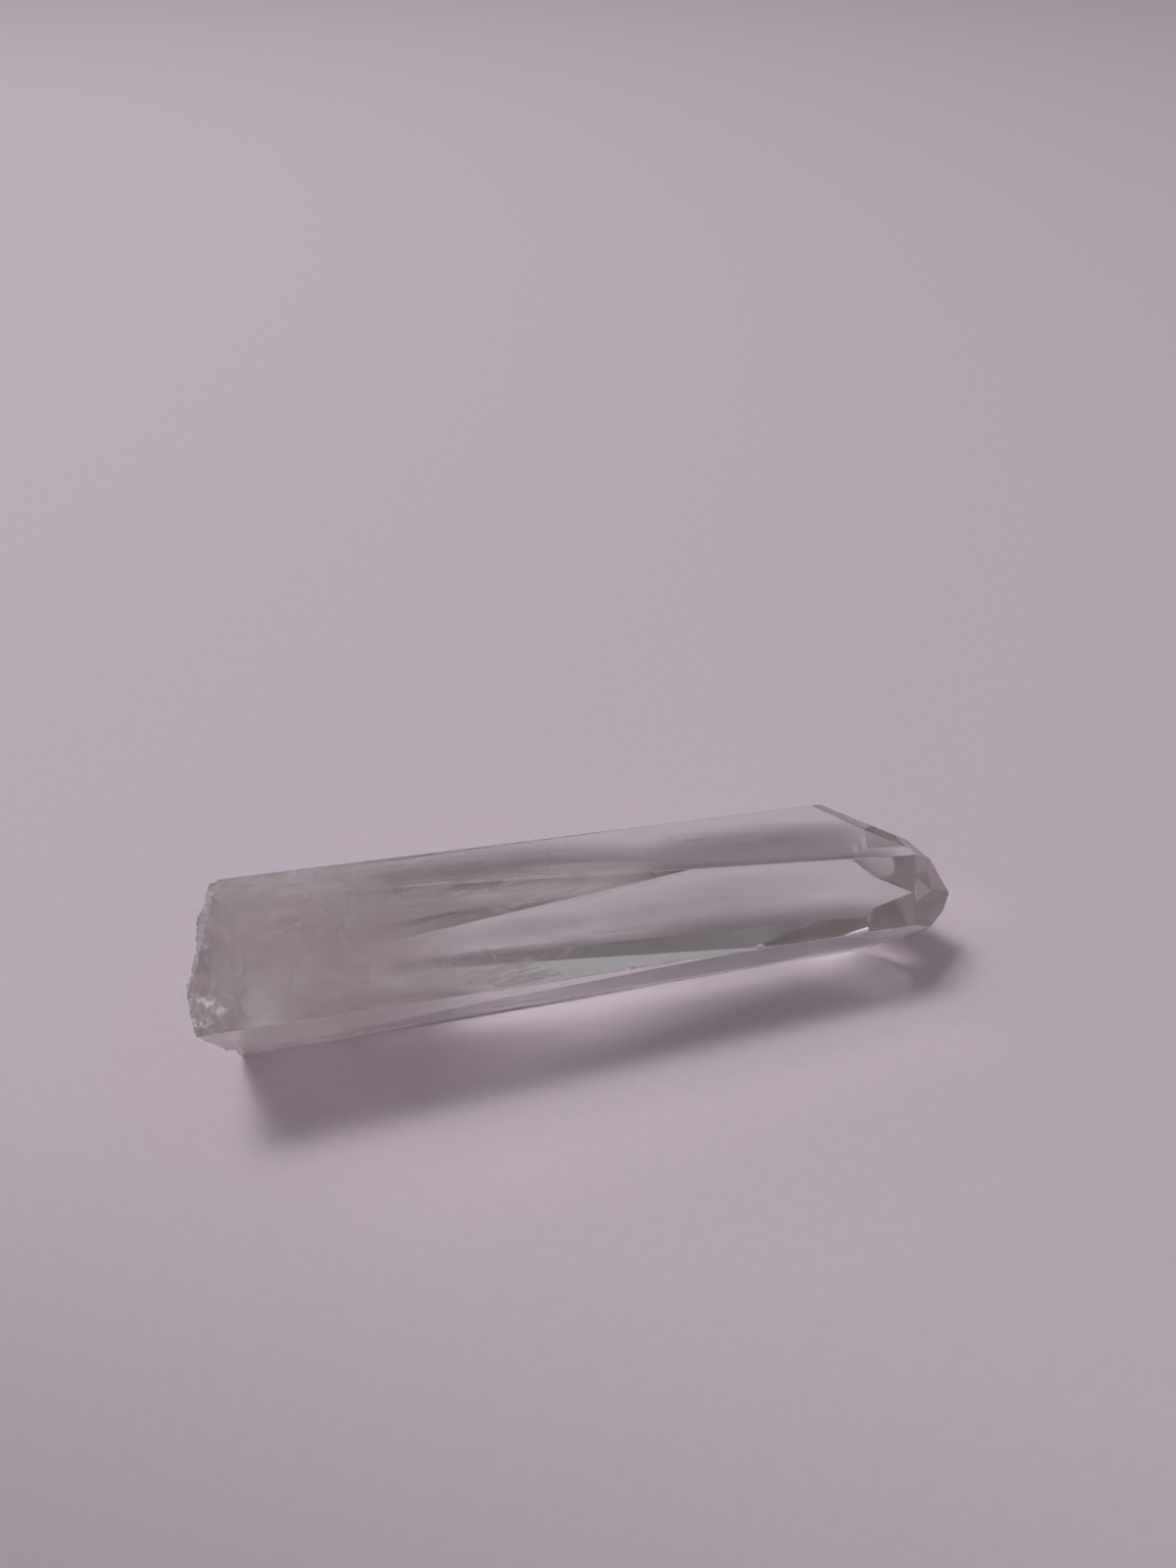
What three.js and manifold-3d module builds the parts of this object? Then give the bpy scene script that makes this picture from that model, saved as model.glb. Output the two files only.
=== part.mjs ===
// A clear quartz point lying on one of its prism faces. It is one crystal: six long prism faces that taper
// a little towards the tip, a tip of six sloping faces that meet in a point, and a broken root end.
// +X runs from the broken end to the tip, +Y to the back and +Z up. The resting face is at z = 0.
import * as THREE from 'three';
import { mergeVertices } from 'three/addons/utils/BufferGeometryUtils.js';
import Module from 'manifold-3d';

const wasm = await Module();
wasm.setup();

// The long axis runs level at this height, and the faces below are measured from it at mid length, in
// millimetres. The tip's own axis dips, swings to the front and rolls a little off the long axis.
const AXIS_HEIGHT = 11;
const TIP_DIP = 2.15;
const TIP_SWING = 4.6;
const TIP_ROLL = 2.75;
const BLANK_LENGTH = 140;
const BLANK_SIDE = 60;

// Prism faces: turn is the way the face looks, in degrees from the front (-Y) over the top (+Z). lean is the
// face's taper towards the tip, and reach its distance from the axis at mid length.
const PRISM_FACES = [
  { turn: 33.3, lean: 1.7, reach: 10.2 },
  { turn: 92.3, lean: 7, reach: 11.15 },
  { turn: 154, lean: 0.1, reach: 7.8 },
  { turn: 211.3, lean: 6.5, reach: 12.1 },
  { turn: 270, lean: 0, reach: AXIS_HEIGHT },
  { turn: 330.6, lean: -2, reach: 9.05 },
];

// Tip faces: quartz slopes them all alike against its own axis, 60 degrees apart. crossing is where each
// face's plane cuts the long axis, measured from mid length. The third and nearest one is the largest.
const TIP_SLOPE = 38.2;
const TIP_FIRST_TURN = 30;
const TIP_STEP = 60;
const TIP_CROSSINGS = [52.2, 47.7, 40, 47.6, 51.35, 58.35];

// Broken root end: a rough break that stands out furthest at the crest and slopes inwards above and below it.
const BREAK_X = -49.4;
const BREAK_CREST = 17;
const BREAK_SLOPE_ABOVE = 0.4;
const BREAK_SLOPE_BELOW = 0.15;
const BREAK_BACK_SLOPE = 0.1;
const BREAK_CELLS = 40;
const RIPPLE_CENTRE = { y: -10, z: 14 };
const RIPPLE_WAVE = 3.4;
const RIPPLE_DEPTH = 0.16;
const BREAK_LUMPS = [
  { y: 2, z: 8, size: 4.5, rise: -0.9 },
  { y: -6, z: 15, size: 3.5, rise: 0.8 },
  { y: 8, z: 10, size: 4, rise: 0.7 },
  { y: 1, z: 20, size: 3.2, rise: -0.8 },
  { y: -3, z: 5, size: 3, rise: 0.5 },
];

// Shell-shaped hollows where flakes came off around the break, each a ball that bites into the crystal.
const BREAK_FLAKES = [
  { at: [-49.9, -11.4, 25], radius: 9 },
  { at: [-47.6, 0.4, 31.6], radius: 5.3 },
  { at: [-49.5, -7.8, 0.9], radius: 5.4 },
  { at: [-49.5, 13.1, 16.9], radius: 7.5 },
  { at: [-49, 15, 1], radius: 4.4 },
];
// Small nicks on the long edges.
const EDGE_NICKS = [
  { at: [17.5, -11.6, 11.5], radius: 0.8 },
  { at: [1, -11.5, 12.6], radius: 0.7 },
  { at: [-15.7, -3.9, 25], radius: 0.7 },
  { at: [-26.5, -4.6, -0.1], radius: 0.8 },
  { at: [-30.2, -4.3, -0.2], radius: 0.9 },
];
const FLAKE_DETAIL = 12;
const NICK_DETAIL = 2;
const FLAKE_RIPPLE = 0.012;
const FLAKE_RIPPLE_COUNT = 22;

const MERGE_GAP = 1e-4;

const COLOUR = 0xd9d8d2;
const ROUGHNESS = 0.08;

const radians = THREE.MathUtils.degToRad;

// A closed three.js geometry as a solid, and back again. Points closer than MERGE_GAP become one.
function toSolid(geometry) {
  geometry.deleteAttribute('normal');
  geometry.deleteAttribute('uv');
  const merged = mergeVertices(geometry, MERGE_GAP);
  return new wasm.Manifold(new wasm.Mesh({
    numProp: 3,
    vertProperties: new Float32Array(merged.attributes.position.array),
    triVerts: new Uint32Array(merged.index.array),
  }));
}

function toGeometry(solid) {
  const mesh = solid.getMesh();
  const geometry = new THREE.BufferGeometry();
  geometry.setAttribute('position', new THREE.BufferAttribute(mesh.vertProperties, 3));
  geometry.setIndex(new THREE.BufferAttribute(mesh.triVerts, 1));
  geometry.computeVertexNormals();
  return geometry;
}

// The way a face looks: turn goes round the long axis and lean tips it towards the point.
function faceNormal(turn, lean) {
  const around = Math.cos(radians(lean));
  const front = -around * Math.cos(radians(turn));
  return new THREE.Vector3(Math.sin(radians(lean)), front, around * Math.sin(radians(turn)));
}

// A big block that fills everything beyond a flat face, ready to be cut away.
function blockBeyond(normal, point) {
  const block = new THREE.BoxGeometry(BLANK_LENGTH, BLANK_LENGTH, BLANK_LENGTH);
  block.translate(0, 0, BLANK_LENGTH / 2);
  const turn = new THREE.Quaternion().setFromUnitVectors(new THREE.Vector3(0, 0, 1), normal);
  block.applyQuaternion(turn);
  block.translate(point.x, point.y, point.z);
  return toSolid(block);
}

function cutPrismFaces(solid) {
  return PRISM_FACES.reduce((rest, face) => {
    const normal = faceNormal(face.turn, face.lean);
    const point = normal.clone().multiplyScalar(face.reach);
    point.z += AXIS_HEIGHT;
    return rest.subtract(blockBeyond(normal, point));
  }, solid);
}

function cutTipFaces(solid) {
  return TIP_CROSSINGS.reduce((rest, crossing, index) => {
    const turn = TIP_FIRST_TURN + TIP_STEP * index + TIP_ROLL;
    const normal = faceNormal(turn, TIP_SLOPE);
    normal.applyAxisAngle(new THREE.Vector3(0, 1, 0), radians(TIP_DIP));
    normal.applyAxisAngle(new THREE.Vector3(0, 0, 1), radians(-TIP_SWING));
    return rest.subtract(blockBeyond(normal, new THREE.Vector3(crossing, 0, AXIS_HEIGHT)));
  }, solid);
}

// How far along X the broken surface lies: a slope, a few broad lumps, and rings that spread from one corner.
function breakAt(y, z) {
  const above = BREAK_SLOPE_ABOVE * Math.max(0, z - BREAK_CREST);
  const below = BREAK_SLOPE_BELOW * Math.max(0, BREAK_CREST - z);
  const slope = above + below + BREAK_BACK_SLOPE * Math.max(0, y);
  const lumps = BREAK_LUMPS.reduce((sum, lump) => {
    const away = Math.hypot(y - lump.y, z - lump.z) / lump.size;
    return sum - lump.rise * Math.exp(-away * away);
  }, 0);
  const ring = Math.hypot(y - RIPPLE_CENTRE.y, z - RIPPLE_CENTRE.z);
  return BREAK_X + slope + lumps + RIPPLE_DEPTH * Math.sin((2 * Math.PI * ring) / RIPPLE_WAVE);
}

function cutBreak(solid) {
  const slab = new THREE.BoxGeometry(BLANK_SIDE, BLANK_SIDE, BLANK_SIDE, 1, BREAK_CELLS, BREAK_CELLS);
  const slabMiddle = BREAK_X - BLANK_SIDE / 2;
  slab.translate(slabMiddle, 0, AXIS_HEIGHT);
  const spots = slab.attributes.position;
  for (let i = 0; i < spots.count; i += 1) {
    if (spots.getX(i) > slabMiddle) {
      spots.setX(i, breakAt(spots.getY(i), spots.getZ(i)));
    }
  }
  return solid.subtract(toSolid(slab));
}

// A ball with faint rings, for the shell-shaped hollow that a flake leaves.
function flakeBall({ at, radius }, detail) {
  const ball = new THREE.IcosahedronGeometry(radius, detail);
  const spots = ball.attributes.position;
  const spot = new THREE.Vector3();
  for (let i = 0; i < spots.count; i += 1) {
    spot.fromBufferAttribute(spots, i);
    const ring = Math.cos((FLAKE_RIPPLE_COUNT * Math.acos(spot.z / radius)));
    spot.multiplyScalar(1 + FLAKE_RIPPLE * ring);
    spots.setXYZ(i, spot.x, spot.y, spot.z);
  }
  ball.translate(...at);
  return toSolid(ball);
}

function cutFlakes(solid, flakes, detail) {
  return flakes.reduce((rest, flake) => rest.subtract(flakeBall(flake, detail)), solid);
}

function crystal() {
  const blank = new THREE.BoxGeometry(BLANK_LENGTH, BLANK_SIDE, BLANK_SIDE);
  blank.translate(0, 0, AXIS_HEIGHT);
  let solid = cutTipFaces(cutPrismFaces(toSolid(blank)));
  solid = cutBreak(solid);
  solid = cutFlakes(solid, BREAK_FLAKES, FLAKE_DETAIL);
  solid = cutFlakes(solid, EDGE_NICKS, NICK_DETAIL);
  const geometry = toGeometry(solid);
  geometry.computeBoundingBox();
  const middle = geometry.boundingBox.getCenter(new THREE.Vector3());
  geometry.translate(-middle.x, -middle.y, -geometry.boundingBox.min.z);
  const material = new THREE.MeshStandardMaterial({ color: COLOUR, roughness: ROUGHNESS, metalness: 0 });
  const mesh = new THREE.Mesh(geometry, material);
  mesh.name = 'quartz_point';
  return mesh;
}

const part = new THREE.Group();
part.add(crystal());

export default part;
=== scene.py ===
import math

import bmesh
import bpy
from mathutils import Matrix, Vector, noise
from mathutils.bvhtree import BVHTree

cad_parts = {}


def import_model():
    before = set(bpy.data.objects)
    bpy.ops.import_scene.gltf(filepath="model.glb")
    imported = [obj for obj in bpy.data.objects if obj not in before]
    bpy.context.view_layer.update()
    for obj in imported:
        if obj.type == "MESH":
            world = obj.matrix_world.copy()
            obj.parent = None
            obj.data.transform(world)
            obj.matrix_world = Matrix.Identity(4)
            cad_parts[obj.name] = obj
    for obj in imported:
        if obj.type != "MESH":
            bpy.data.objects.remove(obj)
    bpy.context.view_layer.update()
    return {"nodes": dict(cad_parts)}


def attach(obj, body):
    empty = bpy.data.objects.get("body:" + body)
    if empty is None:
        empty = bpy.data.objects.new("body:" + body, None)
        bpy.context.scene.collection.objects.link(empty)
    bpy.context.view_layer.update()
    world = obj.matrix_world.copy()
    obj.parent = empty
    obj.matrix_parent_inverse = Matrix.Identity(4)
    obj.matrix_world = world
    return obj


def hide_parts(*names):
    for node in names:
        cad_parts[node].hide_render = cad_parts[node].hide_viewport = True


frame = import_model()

MM = 0.001
NOISE_DETAIL = 3.0

# Camera: where the photograph was taken from, in the crystal's frame. The focal length is in pixels of the
# 1200 wide image, and the clipping distances are in metres.
CAMERA_AT = Vector((-26.34, -101.76, 121.13)) * MM
CAMERA_TURN = 14.68
CAMERA_DIP = 40.29
IMAGE_WIDTH = 1200
FOCAL_PIXELS = 1200
SENSOR_WIDTH = 36.0
NEAR_CLIP = 0.005
FAR_CLIP = 20.0

# Soft room: bright above and behind the crystal, dimmer in front, and dark low down behind it. It changes from
# front to back over FRONT_TO_BACK, and from the horizon to the sky over HORIZON_TO_SKY.
BACK_HORIZON = (0.05, 0.04, 0.055, 1)
FRONT_HORIZON = (0.24, 0.222, 0.216, 1)
BACK_SKY = (0.38, 0.365, 0.39, 1)
FRONT_SKY = (0.165, 0.157, 0.169, 1)
FRONT_TO_BACK = (-0.6, 0.6)
HORIZON_TO_SKY = (0.08, 0.55)
LAMPS_AT = (Vector((-0.577, 0.488, 1.41)), Vector((-0.372, 0.595, 1.44)))
LAMP_SIDE = 0.46
LAMP_POWER = 4.8

# Light bounces many times between the crystal's faces, and passes many thin veils, before it leaves
MOST_BOUNCES = 32
DULL_BOUNCES = 12
CLEAR_BOUNCES = 24
VEIL_BOUNCES = 48

# The floor lies a hair under the resting face, because a stone touches a table at a few points only
FLOOR_DROP = 0.15 * MM
FLOOR_HALF = 1.2
FLOOR_COLOUR = (0.77, 0.667, 0.75, 1)
# Painted shadow: the floor's colour darkens towards the front, from FLOOR_SHADE_START to FLOOR_SHADE_END along
# FLOOR_SHADE_WAY, standing in for a soft shadow cast from the camera's side
FLOOR_PAINTED_SHADOW_COLOUR = (0.54, 0.467, 0.525, 1)
FLOOR_SPECK_COLOUR = (0.50, 0.43, 0.48, 1)
FLOOR_SHADE_WAY = (-0.5, -0.87, 0)
FLOOR_SHADE_START = 0.03
FLOOR_SHADE_END = 0.10
FLOOR_GRAIN = 1.5 * MM
FLOOR_GRAIN_DETAIL = 6.0
FLOOR_SPECK_NOISE = (0.3, 0.7)
FLOOR_SPECK_SHARE = 0.08
FLOOR_ROUGHNESS = 0.8
FLOOR_GLOSS = 0.2

# Crystal surface: clear quartz with slightly worn edges, satin towards the root, with fine growth lines
QUARTZ_IOR = 1.544
QUARTZ_COLOUR = (1, 1, 1, 1)
QUARTZ_TINT = (0.912, 0.885, 0.872, 1)
QUARTZ_DENSITY = 30.0
QUARTZ_CLEARNESS = 0.92
WELD_GAP = 1e-6
FLAT_ANGLE = 0.5
EDGE_WEAR = 0.09 * MM
EDGE_STEPS = 2
EDGE_PROFILE = 0.5
SATIN_ROOT_X = -34 * MM
SATIN_CLEAR_X = -16 * MM
SATIN_ROUGHNESS = 0.25
STRIPE_SIZE = 0.7 * MM
STRIPE_DEPTH = 0.05 * MM
STRIPE_STRENGTH = 0.18
STRIPE_STRETCH = (1, 0.06, 0.06)

# Broken end: facets smaller than this are frosted, split, and shifted a little to show the grain of the break
ROUGH_FACET_AREA = 3.0 * MM * MM
BREAK_END_X = -38 * MM
BREAK_CUTS = 2
BREAK_GRAIN = 0.28 * MM
BREAK_GRAIN_SIZE = 0.9 * MM
BREAK_ROUGHNESS = 0.26

# Milky root: nested soft shells of haze inside the root end that thin out towards the tip
HAZE_COLOUR = (0.97, 0.935, 0.935, 1)
HAZE_START_X = -45.5 * MM
HAZE_DENSE_X = -31 * MM
HAZE_CLEAR_X = -13 * MM
HAZE_MIDDLE = (-1.2 * MM, 12.5 * MM)
HAZE_SHELLS = (0.95, 0.83, 0.68, 0.5, 0.3)
HAZE_INSET = 8 * MM
HAZE_ALPHA = 0.30
HAZE_STATIONS = 40
HAZE_SPOKES = 64
HAZE_WAVE = 0.05
HAZE_WAVE_SIZE = 7 * MM
HAZE_CLOUD_SIZE = 9 * MM
HAZE_CLOUD_NOISE = (0.3, 0.7)
HAZE_CLOUD_LEAST = 0.5

# Veils inside the crystal, in millimetres: each runs from one end to the other, with its width, its strength
# and the face it lies along. Clouds are smooth and white, and light veils are white wisps. Grey veils are dark
# sheets of painted shade, put where the crystal shows the shadowed floor under and in front of it.
FRONT_FACE = Vector((0.03, -0.835, 0.549))
TOP_FACE = Vector((0.12, 0.04, 0.99))
UNDER_FACE = Vector((-0.035, -0.871, -0.491))
LYING = Vector((0, -0.3, 0.95))
CLOUDS = (
    ((-27, -4.0, 22.8), (10, -4.6, 19.5), 5.0, 1.7, LYING),
    ((-24, -7.0, 6.0), (-3, -7.9, 6.0), 10.0, 1.0, UNDER_FACE),
)
LIGHT_VEILS = (
    ((-21, -10.9, 14.2), (-1.5, -11.3, 12.5), 2.4, 1.0, FRONT_FACE),
    ((-19, -9.9, 14.4), (-3, -10.2, 13.0), 4.0, 0.8, FRONT_FACE),
    ((-25, -8.5, 15.5), (-7, -8.2, 14.2), 5.0, 0.35, FRONT_FACE),
    ((-25, -4.1, 24.2), (0, -5.2, 21.5), 1.9, 2.0, FRONT_FACE),
    ((-19.2, -6.9, 20.2), (-1.3, -5.7, 21.0), 0.5, 1.5, FRONT_FACE),
    ((10.5, 2.5, 18.4), (11.5, 0.4, 18.3), 0.8, 0.5, LYING),
    ((11.6, 0.0, 18.3), (16.5, 0.7, 17.7), 0.9, 0.5, LYING),
    ((-14.9, -5.4, 15.1), (-12.4, -7.2, 12.3), 0.8, 0.5, LYING),
    ((-6.8, -7.5, 11.5), (-3.1, -6.5, 12.8), 0.8, 0.5, LYING),
    ((14.8, -6.6, 15.4), (16.6, -6.4, 15.9), 0.4, 0.8, LYING),
    ((-4.5, 0.7, 22.2), (-5.8, -4.5, 22.6), 0.35, 0.7, TOP_FACE),
)
# Painted shade: dark sheets that darken the crystal where it shows the floor lying in shadow
PAINTED_SHADE_VEILS = (
    ((-36, -0.8, 24.9), (8, -0.7, 19.6), 7.5, 0.7, TOP_FACE),
    ((6, -0.9, 19.7), (40, -1.1, 15.6), 6.5, 0.7, TOP_FACE),
    ((-8, -7.7, 16.4), (33, -9.0, 12.0), 6.0, 0.4, FRONT_FACE),
    ((-6, -7.2, 17.6), (32, -7.0, 15.0), 6.0, 0.4, FRONT_FACE),
    ((-20, -7.3, 18.2), (0, -7.3, 16.9), 3.6, 0.5, FRONT_FACE),
    ((-4, -8.2, 6.5), (33, -9.4, 6.0), 12.0, 0.5, UNDER_FACE),
    ((-21.5, -6.9, 5.6), (-17.3, -6.9, 5.6), 4.0, 0.6, UNDER_FACE),
)
LIGHT_COLOUR = (0.95, 0.91, 0.90, 1)
# Colour of the painted shade sheets
PAINTED_SHADE_COLOUR = (0.14, 0.13, 0.135, 1)

# A veil's pattern begins and ends at the two values of LIGHT_NOISE or SOFT_NOISE. Its glow is the part of the
# scattered light that goes on to the far side.
VEIL_RINGS = 10
VEIL_SPOKES = 40
VEIL_WAVE = 0.35 * MM
VEIL_WAVE_SIZE = 7 * MM
VEIL_WELD_GAP = 1e-7
VEIL_DETAIL = 5.0
LIGHT_GRAIN = 1.1 * MM
LIGHT_NOISE = (0.36, 0.62)
SOFT_GRAIN = 6 * MM
SOFT_NOISE = (0.1, 0.9)
EVEN_GLOW = 0.5
CLOUD_GLOW = 0.1
WISP_STRETCH = (0.12, 1, 1)


def camera():
    data = bpy.data.cameras.new("camera")
    data.sensor_fit = "HORIZONTAL"
    data.sensor_width = SENSOR_WIDTH
    data.lens = data.sensor_width * FOCAL_PIXELS / IMAGE_WIDTH
    data.clip_start = NEAR_CLIP
    data.clip_end = FAR_CLIP
    eye = bpy.data.objects.new("camera", data)
    eye.location = CAMERA_AT
    eye.rotation_euler = (math.radians(90 - CAMERA_DIP), 0, math.radians(-CAMERA_TURN))
    bpy.context.scene.collection.objects.link(eye)
    bpy.context.scene.camera = eye


def new_material(name):
    material = bpy.data.materials.new(name)
    material.use_nodes = True
    material.node_tree.nodes.clear()
    return material, material.node_tree.nodes, material.node_tree.links


def map_range(nodes, links, value, low, high, to_low=0.0, to_high=1.0):
    step = nodes.new("ShaderNodeMapRange")
    step.interpolation_type = "SMOOTHSTEP"
    step.inputs["From Min"].default_value = low
    step.inputs["From Max"].default_value = high
    step.inputs["To Min"].default_value = to_low
    step.inputs["To Max"].default_value = to_high
    links.new(value, step.inputs["Value"])
    return step.outputs[0]


def of_two(nodes, links, operation, first, second):
    step = nodes.new("ShaderNodeMath")
    step.operation = operation
    links.new(first, step.inputs[0])
    links.new(second, step.inputs[1])
    return step.outputs[0]


def noise_value(nodes, links, place, size, detail=NOISE_DETAIL):
    step = nodes.new("ShaderNodeTexNoise")
    step.inputs["Scale"].default_value = 1 / size
    step.inputs["Detail"].default_value = detail
    links.new(place, step.inputs["Vector"])
    return step.outputs["Fac"]


def colour_mix(nodes, links, share, first, second):
    blend = nodes.new("ShaderNodeMix")
    blend.data_type = "RGBA"
    links.new(share, blend.inputs["Factor"])
    for socket, colour in ((blend.inputs["A"], first), (blend.inputs["B"], second)):
        if isinstance(colour, tuple):
            socket.default_value = colour
        else:
            links.new(colour, socket)
    return blend.outputs["Result"]


def attribute(nodes, name):
    step = nodes.new("ShaderNodeAttribute")
    step.attribute_name = name
    return step.outputs["Fac"]


def stretched(nodes, links, scale):
    """The place on the object, stretched so that a noise on it comes out as streaks."""
    step = nodes.new("ShaderNodeMapping")
    step.inputs["Scale"].default_value = scale
    links.new(nodes.new("ShaderNodeTexCoord").outputs["Object"], step.inputs["Vector"])
    return step.outputs[0]


def floor_material():
    material, nodes, links = new_material("pale_floor")
    place = nodes.new("ShaderNodeTexCoord").outputs["Object"]
    way = nodes.new("ShaderNodeVectorMath")
    way.operation = "DOT_PRODUCT"
    links.new(place, way.inputs[0])
    way.inputs[1].default_value = FLOOR_SHADE_WAY
    shader = nodes.new("ShaderNodeBsdfPrincipled")
    # Painted shadow: the floor colour turns darker towards the front
    painted_shadow_share = map_range(nodes, links, way.outputs["Value"], FLOOR_SHADE_START, FLOOR_SHADE_END)
    ground = colour_mix(nodes, links, painted_shadow_share, FLOOR_COLOUR, FLOOR_PAINTED_SHADOW_COLOUR)
    grain = noise_value(nodes, links, place, FLOOR_GRAIN, FLOOR_GRAIN_DETAIL)
    speckle = map_range(nodes, links, grain, *FLOOR_SPECK_NOISE, 0.0, FLOOR_SPECK_SHARE)
    links.new(colour_mix(nodes, links, speckle, ground, FLOOR_SPECK_COLOUR), shader.inputs["Base Color"])
    shader.inputs["Roughness"].default_value = FLOOR_ROUGHNESS
    shader.inputs["Specular IOR Level"].default_value = FLOOR_GLOSS
    out = nodes.new("ShaderNodeOutputMaterial")
    links.new(shader.outputs[0], out.inputs["Surface"])
    return material


def floor():
    mesh = bpy.data.meshes.new("floor")
    corners = [(-1, -1), (1, -1), (1, 1), (-1, 1)]
    spots = [(x * FLOOR_HALF, y * FLOOR_HALF, -FLOOR_DROP) for x, y in corners]
    mesh.from_pydata(spots, [], [(0, 1, 2, 3)])
    ground = bpy.data.objects.new("floor", mesh)
    mesh.materials.append(floor_material())
    bpy.context.scene.collection.objects.link(ground)


def world():
    sky = bpy.data.worlds.new("soft_room")
    bpy.context.scene.world = sky
    sky.use_nodes = True
    nodes, links = sky.node_tree.nodes, sky.node_tree.links
    nodes.clear()
    coords = nodes.new("ShaderNodeTexCoord")
    split = nodes.new("ShaderNodeSeparateXYZ")
    links.new(coords.outputs["Generated"], split.inputs[0])
    depth = map_range(nodes, links, split.outputs["Y"], *FRONT_TO_BACK)
    low = colour_mix(nodes, links, depth, FRONT_HORIZON, BACK_HORIZON)
    high = colour_mix(nodes, links, depth, FRONT_SKY, BACK_SKY)
    height = map_range(nodes, links, split.outputs["Z"], *HORIZON_TO_SKY)
    background = nodes.new("ShaderNodeBackground")
    links.new(colour_mix(nodes, links, height, low, high), background.inputs["Color"])
    out = nodes.new("ShaderNodeOutputWorld")
    links.new(background.outputs[0], out.inputs["Surface"])


def lights():
    for place in LAMPS_AT:
        data = bpy.data.lights.new("soft_box", "AREA")
        data.shape = "SQUARE"
        data.size = LAMP_SIDE
        data.energy = LAMP_POWER
        lamp = bpy.data.objects.new("soft_box", data)
        lamp.location = place
        lamp.rotation_euler = (-place).to_track_quat("-Z", "Y").to_euler()
        bpy.context.scene.collection.objects.link(lamp)


def stripes(nodes, links):
    """The fine growth lines across the prism faces, as a slight unevenness of the surface."""
    bump = nodes.new("ShaderNodeBump")
    bump.inputs["Strength"].default_value = STRIPE_STRENGTH
    bump.inputs["Distance"].default_value = STRIPE_DEPTH
    place = stretched(nodes, links, STRIPE_STRETCH)
    links.new(noise_value(nodes, links, place, STRIPE_SIZE), bump.inputs["Height"])
    return bump.outputs[0]


def quartz_roughness(nodes, links):
    """Frosted on the break, satin on the root end, and polished by nature towards the tip."""
    split = nodes.new("ShaderNodeSeparateXYZ")
    links.new(nodes.new("ShaderNodeTexCoord").outputs["Object"], split.inputs[0])
    satin = map_range(nodes, links, split.outputs["X"], SATIN_ROOT_X, SATIN_CLEAR_X, SATIN_ROUGHNESS, 0.0)
    frosted = map_range(nodes, links, attribute(nodes, "frost"), 0.0, 1.0, 0.0, BREAK_ROUGHNESS)
    return of_two(nodes, links, "MAXIMUM", satin, frosted)


def quartz_material():
    material, nodes, links = new_material("quartz")
    shader = nodes.new("ShaderNodeBsdfPrincipled")
    shader.inputs["Base Color"].default_value = QUARTZ_COLOUR
    shader.inputs["IOR"].default_value = QUARTZ_IOR
    shader.inputs["Transmission Weight"].default_value = QUARTZ_CLEARNESS
    links.new(quartz_roughness(nodes, links), shader.inputs["Roughness"])
    links.new(stripes(nodes, links), shader.inputs["Normal"])
    volume = nodes.new("ShaderNodeVolumeAbsorption")
    volume.inputs["Color"].default_value = QUARTZ_TINT
    volume.inputs["Density"].default_value = QUARTZ_DENSITY
    out = nodes.new("ShaderNodeOutputMaterial")
    links.new(shader.outputs[0], out.inputs["Surface"])
    links.new(volume.outputs[0], out.inputs["Volume"])
    return material


def haze_material():
    material, nodes, links = new_material("haze")
    place = nodes.new("ShaderNodeTexCoord").outputs["Object"]
    split = nodes.new("ShaderNodeSeparateXYZ")
    links.new(place, split.inputs[0])
    thinning = map_range(nodes, links, split.outputs["X"], HAZE_DENSE_X, HAZE_CLEAR_X, HAZE_ALPHA, 0.0)
    puffs = noise_value(nodes, links, place, HAZE_CLOUD_SIZE)
    cloud = map_range(nodes, links, puffs, *HAZE_CLOUD_NOISE, HAZE_CLOUD_LEAST, 1.0)
    see_through(material, of_two(nodes, links, "MULTIPLY", thinning, cloud), HAZE_COLOUR, EVEN_GLOW)
    return material


def veil_material(name, colour, grain, shown, glow):
    material, nodes, links = new_material(name)
    place = stretched(nodes, links, WISP_STRETCH)
    wisps = map_range(nodes, links, noise_value(nodes, links, place, grain, VEIL_DETAIL), *shown)
    share = of_two(nodes, links, "MULTIPLY", wisps, attribute(nodes, "fade"))
    see_through(material, share, colour, glow)
    return material


def see_through(material, share, colour, glow):
    """A thin layer that scatters its share of the light and lets the rest pass. glow is the scattered part
    that goes on to the far side."""
    nodes, links = material.node_tree.nodes, material.node_tree.links
    dull = nodes.new("ShaderNodeBsdfDiffuse")
    dull.inputs["Color"].default_value = colour
    passing = nodes.new("ShaderNodeBsdfTranslucent")
    passing.inputs["Color"].default_value = colour
    both = nodes.new("ShaderNodeMixShader")
    both.inputs["Fac"].default_value = glow
    links.new(dull.outputs[0], both.inputs[1])
    links.new(passing.outputs[0], both.inputs[2])
    clear = nodes.new("ShaderNodeBsdfTransparent")
    mixed = nodes.new("ShaderNodeMixShader")
    links.new(share, mixed.inputs["Fac"])
    links.new(clear.outputs[0], mixed.inputs[1])
    links.new(both.outputs[0], mixed.inputs[2])
    out = nodes.new("ShaderNodeOutputMaterial")
    links.new(mixed.outputs[0], out.inputs["Surface"])


def crystal_shape():
    shape = bmesh.new()
    shape.from_mesh(frame["nodes"]["quartz_point"].data)
    bmesh.ops.remove_doubles(shape, verts=shape.verts, dist=WELD_GAP)
    return shape


def dressed(name, shape, material):
    mesh = bpy.data.meshes.new(name)
    shape.to_mesh(mesh)
    shape.free()
    piece = bpy.data.objects.new(name, mesh)
    mesh.materials.append(material)
    bpy.context.scene.collection.objects.link(piece)
    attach(piece, "root")
    return piece


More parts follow.
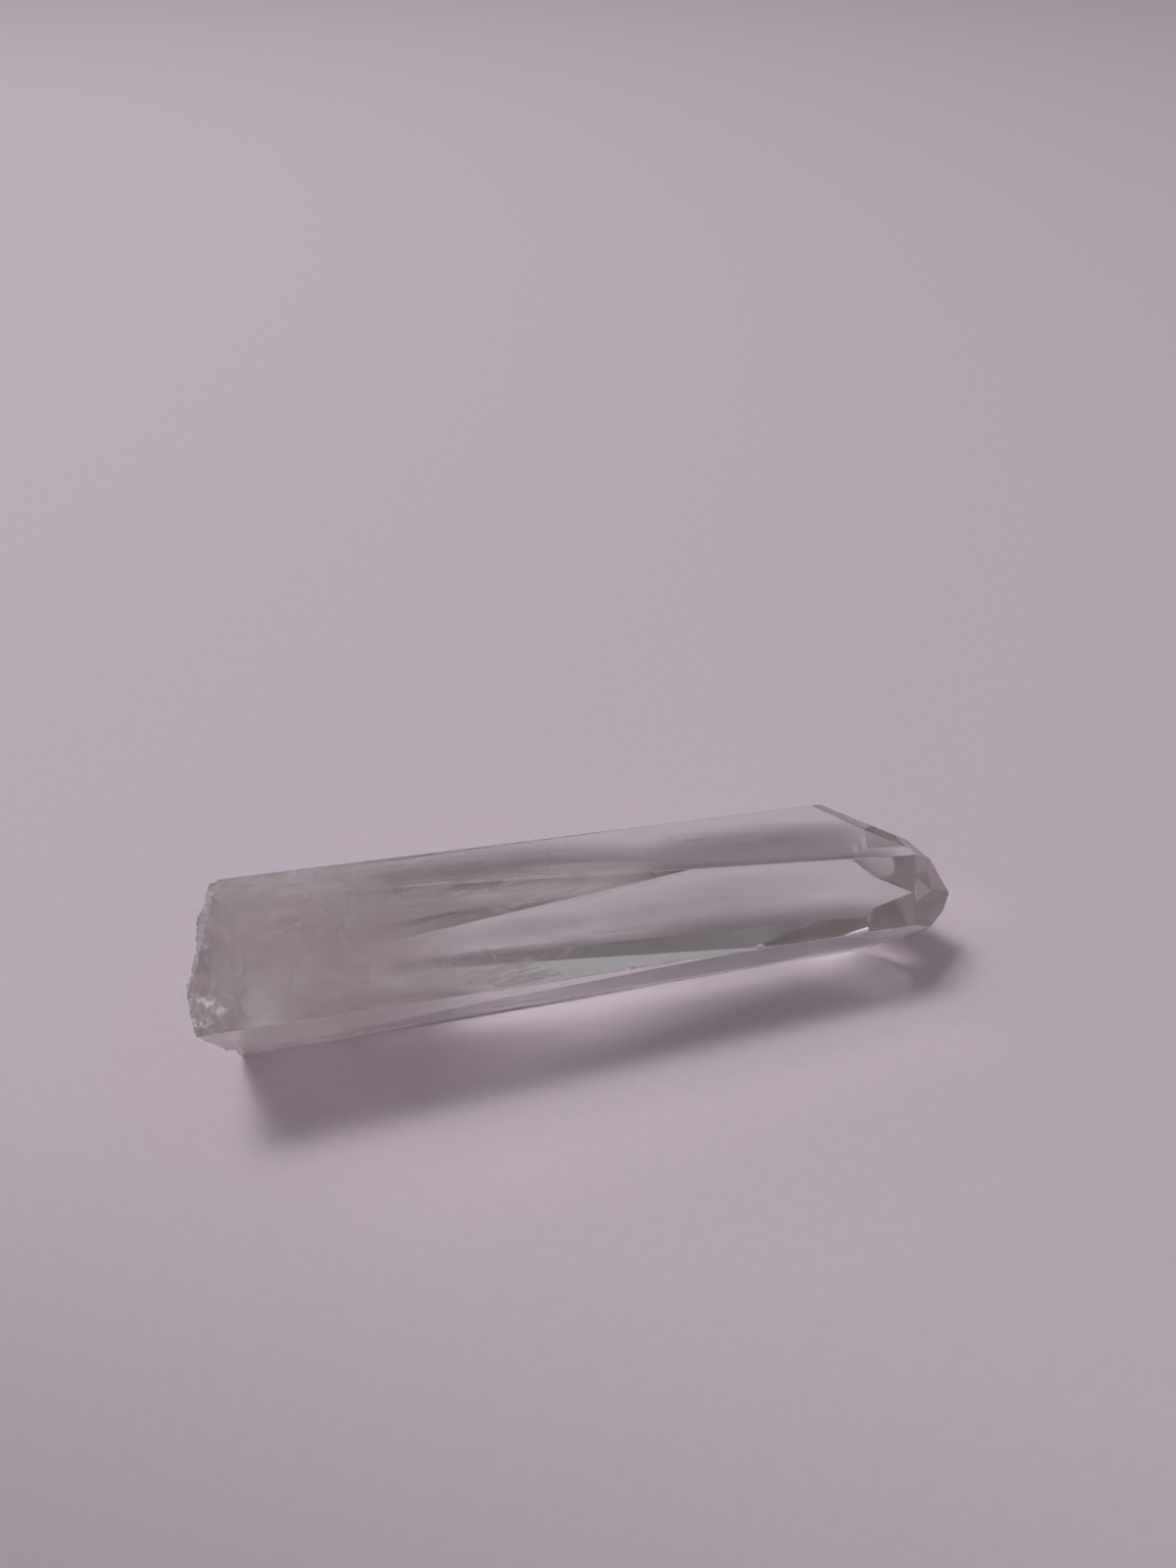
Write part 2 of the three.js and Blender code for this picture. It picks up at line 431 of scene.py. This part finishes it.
def roughen(shape):
    """Frosts the small facets of the broken end, splits them and shifts their corners a little."""
    frost = shape.faces.layers.float.new("frost")
    for face in shape.faces:
        small = face.calc_area() < ROUGH_FACET_AREA
        face[frost] = float(small and face.calc_center_median().x < BREAK_END_X)
    edges = [edge for edge in shape.edges if any(face[frost] for face in edge.link_faces)]
    bmesh.ops.subdivide_edges(shape, edges=edges, cuts=BREAK_CUTS, use_grid_fill=True)
    shape.normal_update()
    for vert in shape.verts:
        if all(face[frost] for face in vert.link_faces):
            vert.co += vert.normal * BREAK_GRAIN * noise.noise(vert.co / BREAK_GRAIN_SIZE)


def crystal():
    shape = crystal_shape()
    still_flat = math.radians(FLAT_ANGLE)
    bmesh.ops.dissolve_limit(shape, angle_limit=still_flat, verts=shape.verts, edges=shape.edges)
    flat = {face for face in shape.faces if face.calc_area() > ROUGH_FACET_AREA}
    edges = [e for e in shape.edges if len(e.link_faces) == 2 and all(f in flat for f in e.link_faces)]
    worn = {"offset": EDGE_WEAR, "segments": EDGE_STEPS, "profile": EDGE_PROFILE}
    bmesh.ops.bevel(shape, geom=edges, affect="EDGES", **worn)
    roughen(shape)
    piece = dressed("crystal", shape, quartz_material())
    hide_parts("quartz_point")


def join_rings(shape, rows):
    count = len(rows[0])
    for inner, outer in zip(rows, rows[1:]):
        for i in range(count):
            j = (i + 1) % count
            shape.faces.new((inner[i], outer[i], outer[j], inner[j]))


def add_veil(shape, fade, start, end, width, strength, facing):
    middle = (start + end) / 2
    along = (end - start) / 2
    across = facing.cross(along).normalized() * width / 2
    rows = []
    for ring in range(VEIL_RINGS + 1):
        share = ring / VEIL_RINGS
        row = []
        for spoke in range(VEIL_SPOKES):
            angle = 2 * math.pi * spoke / VEIL_SPOKES
            spot = middle + (along * math.cos(angle) + across * math.sin(angle)) * share
            lift = noise.noise(spot / VEIL_WAVE_SIZE) * VEIL_WAVE
            vert = shape.verts.new(spot + facing.normalized() * lift)
            vert[fade] = strength * (1 - share * share)
            row.append(vert)
        rows.append(row)
    join_rings(shape, rows)


def veils(name, places, material):
    shape = bmesh.new()
    fade = shape.verts.layers.float.new("fade")
    for start, end, width, strength, facing in places:
        add_veil(shape, fade, Vector(start) * MM, Vector(end) * MM, width * MM, strength, facing)
    soft_piece(name, shape, material)


def soft_piece(name, shape, material):
    bmesh.ops.remove_doubles(shape, verts=shape.verts, dist=VEIL_WELD_GAP)
    for face in shape.faces:
        face.smooth = True
    dressed(name, shape, material)


def add_shell(shape, tree, size):
    """A wavy tube of haze that follows the crystal's faces from inside, closed at the broken end."""
    start = HAZE_START_X + (1 - size) * HAZE_INSET
    rows = []
    for station in range(HAZE_STATIONS + 1):
        middle = Vector((start + (HAZE_CLEAR_X - start) * station / HAZE_STATIONS, *HAZE_MIDDLE))
        row = []
        for spoke in range(HAZE_SPOKES):
            angle = 2 * math.pi * spoke / HAZE_SPOKES
            way = Vector((0, math.cos(angle), math.sin(angle)))
            spot = middle.lerp(tree.ray_cast(middle, way)[0], size)
            wave = HAZE_WAVE * noise.noise(spot / HAZE_WAVE_SIZE)
            row.append(shape.verts.new(spot.lerp(middle, wave)))
        rows.append(row)
    join_rings(shape, rows)
    shape.faces.new(reversed(rows[0]))


def haze():
    solid = crystal_shape()
    tree = BVHTree.FromBMesh(solid)
    solid.free()
    shape = bmesh.new()
    for size in HAZE_SHELLS:
        add_shell(shape, tree, size)
    soft_piece("haze", shape, haze_material())


camera()
world()
lights()
floor()
crystal()
haze()
wisp = veil_material("light_veil", LIGHT_COLOUR, LIGHT_GRAIN, LIGHT_NOISE, EVEN_GLOW)
# Painted shade: the grey veils darken what is seen through them
painted_shade = veil_material("painted_shade_veil", PAINTED_SHADE_COLOUR, SOFT_GRAIN, SOFT_NOISE, EVEN_GLOW)
cloud = veil_material("cloud", LIGHT_COLOUR, SOFT_GRAIN, SOFT_NOISE, CLOUD_GLOW)
veils("light_veils", LIGHT_VEILS, wisp)
veils("painted_shade_veils", PAINTED_SHADE_VEILS, painted_shade)
veils("clouds", CLOUDS, cloud)
bpy.context.scene.view_settings.view_transform = "Standard"
light_paths = bpy.context.scene.cycles
light_paths.max_bounces = MOST_BOUNCES
light_paths.diffuse_bounces = DULL_BOUNCES
light_paths.blur_glossy = 0.0
light_paths.glossy_bounces = CLEAR_BOUNCES
light_paths.transmission_bounces = CLEAR_BOUNCES
light_paths.transparent_max_bounces = VEIL_BOUNCES
